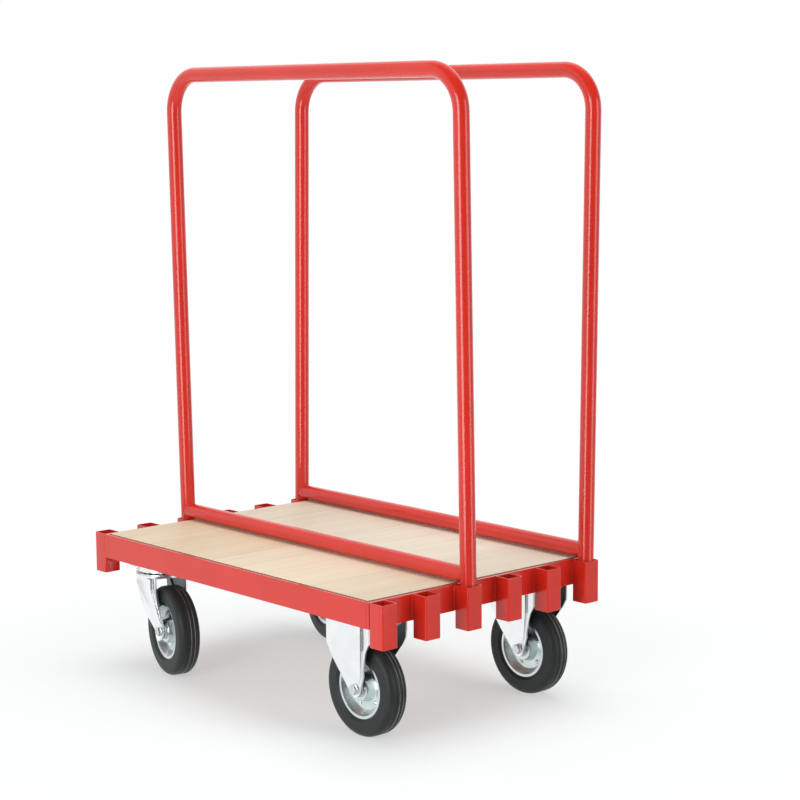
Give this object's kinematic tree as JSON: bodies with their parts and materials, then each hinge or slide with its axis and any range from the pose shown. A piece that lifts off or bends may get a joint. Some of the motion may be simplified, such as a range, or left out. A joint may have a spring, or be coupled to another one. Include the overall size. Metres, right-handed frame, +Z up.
{
  "type": "drywall cart",
  "caption": "Sheet cart with a plywood deck in a red steel frame, rows of square sockets at both ends, lift-out tube hoops, and fixed and swivel casters.",
  "frame": {"origin": "on the floor, under the middle of the deck", "axes": "+X along the deck towards the fixed casters, +Y across it towards the rear hoop, +Z up"},
  "size_m": [0.996, 0.6254, 1.3465],
  "materials": {
    "red_paint": "gloss",
    "plywood": "satin",
    "zinc_sheet": "zinc plated",
    "zinc_fastener": "zinc plated",
    "bare_steel": "ground",
    "tyre_rubber": "matte"
  },
  "bodies": {
    "cart_frame": {"side_rail_front": "red_paint", "side_rail_rear": "red_paint", "end_rail_left": "red_paint", "end_rail_right": "red_paint", "cross_bearer_1": "red_paint", "cross_bearer_2": "red_paint", "cross_bearer_3": "red_paint", "cross_bearer_4": "red_paint", "cross_bearer_5": "red_paint", "deck_board": "plywood", "deck_screws": "zinc_fastener", "caster_bolts": "zinc_fastener", "caster_nuts": "zinc_fastener", "socket_left_1": "red_paint", "socket_left_2": "red_paint", "socket_left_3": "red_paint", "socket_left_4": "red_paint", "socket_left_5": "red_paint", "socket_left_6": "red_paint", "socket_right_1": "red_paint", "socket_right_2": "red_paint", "socket_right_3": "red_paint", "socket_right_4": "red_paint", "socket_right_5": "red_paint", "socket_right_6": "red_paint", "front_fixed_bracket": "zinc_sheet", "rear_fixed_bracket": "zinc_sheet", "fixed_axle_bolts": "zinc_fastener", "fixed_axle_nuts": "zinc_fastener", "fixed_axle_sleeves": "bare_steel", "swivel_kingpins": "bare_steel", "front_swivel_top_plate": "zinc_sheet", "rear_swivel_top_plate": "zinc_sheet"},
    "middle_hoop": {"middle_hoop_bow": "red_paint", "middle_hoop_crossbar": "red_paint"},
    "rear_hoop": {"rear_hoop_bow": "red_paint", "rear_hoop_crossbar": "red_paint"},
    "front_fixed_wheel": {"front_fixed_rim": "zinc_sheet", "front_fixed_tyre": "tyre_rubber", "front_fixed_rollers": "bare_steel"},
    "rear_fixed_wheel": {"rear_fixed_rim": "zinc_sheet", "rear_fixed_tyre": "tyre_rubber", "rear_fixed_rollers": "bare_steel"},
    "front_swivel": {"front_swivel_fork": "zinc_sheet", "front_swivel_race_balls": "bare_steel", "front_swivel_axle_bolt": "zinc_fastener", "front_swivel_axle_nut": "zinc_fastener", "front_swivel_axle_sleeve": "bare_steel"},
    "front_swivel_wheel": {"front_swivel_rim": "zinc_sheet", "front_swivel_tyre": "tyre_rubber", "front_swivel_rollers": "bare_steel"},
    "rear_swivel": {"rear_swivel_fork": "zinc_sheet", "rear_swivel_race_balls": "bare_steel", "rear_swivel_axle_bolt": "zinc_fastener", "rear_swivel_axle_nut": "zinc_fastener", "rear_swivel_axle_sleeve": "bare_steel"},
    "rear_swivel_wheel": {"rear_swivel_rim": "zinc_sheet", "rear_swivel_tyre": "tyre_rubber", "rear_swivel_rollers": "bare_steel"}
  },
  "joints": [
    {"name": "middle_hoop_lift", "type": "slide", "parent": "cart_frame", "child": "middle_hoop", "axis": [0, -0.0157, 0.9999], "range_m": [0, 0.1]},
    {"name": "rear_hoop_lift", "type": "slide", "parent": "cart_frame", "child": "rear_hoop", "axis": [0, 0.0175, 0.9998], "range_m": [0, 0.1]},
    {"name": "front_fixed_wheel_spin", "type": "hinge", "parent": "cart_frame", "child": "front_fixed_wheel", "pos_m": [0.363, -0.23, 0.1], "axis": [0, 1, 0], "continuous": true},
    {"name": "rear_fixed_wheel_spin", "type": "hinge", "parent": "cart_frame", "child": "rear_fixed_wheel", "pos_m": [0.363, 0.23, 0.1], "axis": [0, 1, 0], "continuous": true},
    {"name": "front_swivel_turn", "type": "hinge", "parent": "cart_frame", "child": "front_swivel", "pos_m": [-0.3455, -0.23, 0.2], "axis": [0, 0, 1], "continuous": true},
    {"name": "front_swivel_wheel_spin", "type": "hinge", "parent": "front_swivel", "child": "front_swivel_wheel", "pos_m": [-0.28497, -0.24342, 0.1], "axis": [0.2164, 0.9763, 0], "continuous": true},
    {"name": "rear_swivel_turn", "type": "hinge", "parent": "cart_frame", "child": "rear_swivel", "pos_m": [-0.3455, 0.23, 0.2], "axis": [0, 0, 1], "continuous": true},
    {"name": "rear_swivel_wheel_spin", "type": "hinge", "parent": "rear_swivel", "child": "rear_swivel_wheel", "pos_m": [-0.28497, 0.21658, 0.1], "axis": [0.2164, 0.9763, 0], "continuous": true}
  ]
}
